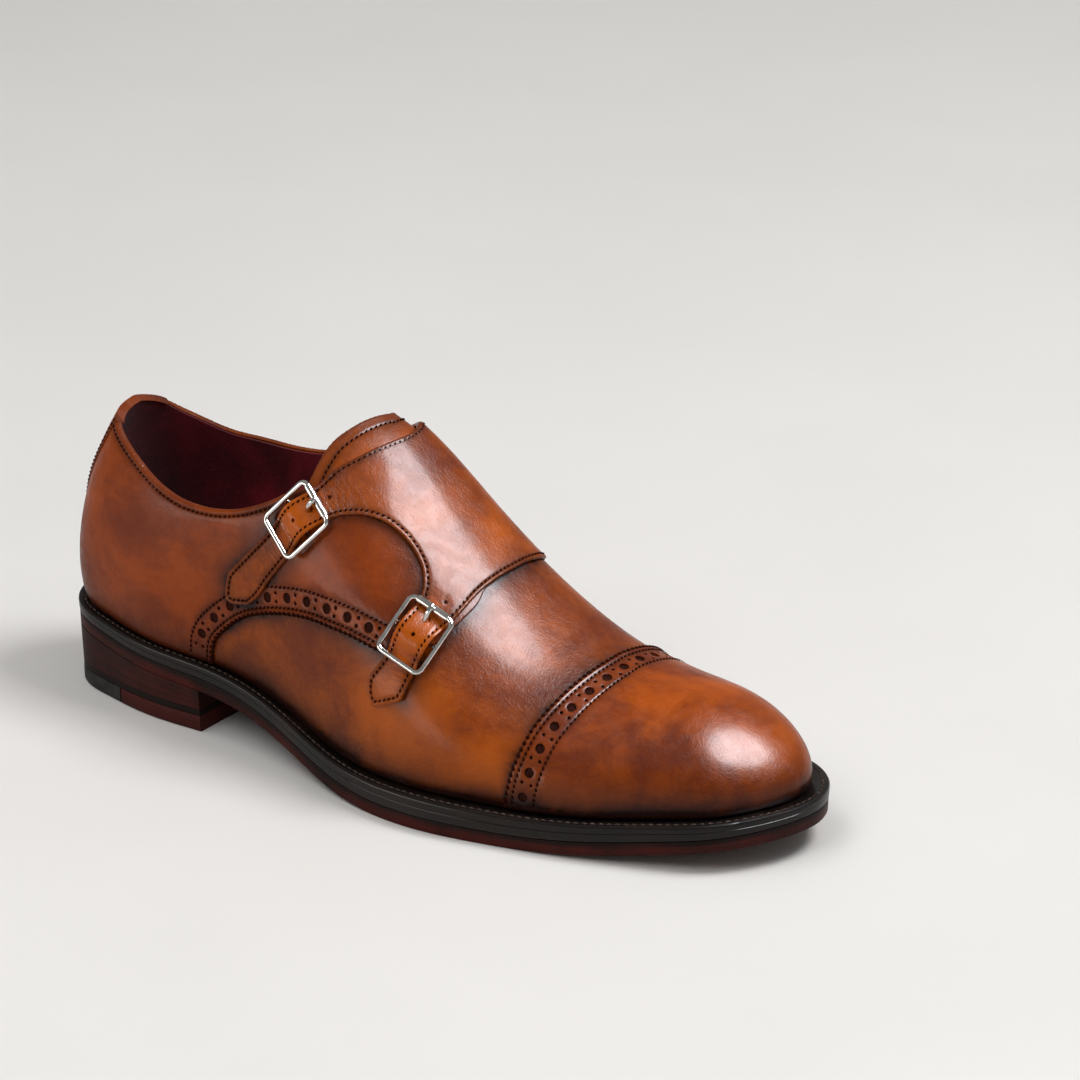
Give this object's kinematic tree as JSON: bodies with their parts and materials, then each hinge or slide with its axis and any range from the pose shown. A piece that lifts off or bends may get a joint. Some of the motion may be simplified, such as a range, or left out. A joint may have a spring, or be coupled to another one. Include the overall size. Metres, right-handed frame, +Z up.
{
  "type": "monk strap shoe",
  "caption": "Cap toe double monk strap dress shoe for the right foot, with a hollow leather upper, a strap flap held by roller buckles, and a stacked heel.",
  "frame": {"origin": "on the floor under the middle of the sole's outline", "axes": "+X toward the toe, +Z up, -Y toward the outer side with the buckles"},
  "size_m": [0.3026, 0.1063, 0.1185],
  "materials": {
    "upper_leather": "burnished cognac calf, smooth and lightly polished",
    "cap_leather": "burnished cognac calf, darker and more polished",
    "lining_leather": "dark burgundy lining leather, matt",
    "sole_leather": "dark mahogany stained sole leather, satin edge",
    "welt_black": "black dressed welt edge, satin",
    "heel_rubber": "black rubber, matt",
    "nickel": "polished nickel"
  },
  "bodies": {
    "root": {"outsole": "sole_leather", "welt": "welt_black", "heel_stack": "sole_leather", "heel_rubber": "heel_rubber", "heel_top_piece": "sole_leather", "insole": "lining_leather", "upper": "upper_leather", "toe_cap": "cap_leather", "strap_flap": "upper_leather", "tongue": "lining_leather", "buckle_frame_rear": "nickel", "buckle_roller_rear": "nickel", "buckle_prong_rear": "nickel", "buckle_frame_front": "nickel", "buckle_roller_front": "nickel", "buckle_prong_front": "nickel"}
  },
  "joints": []
}
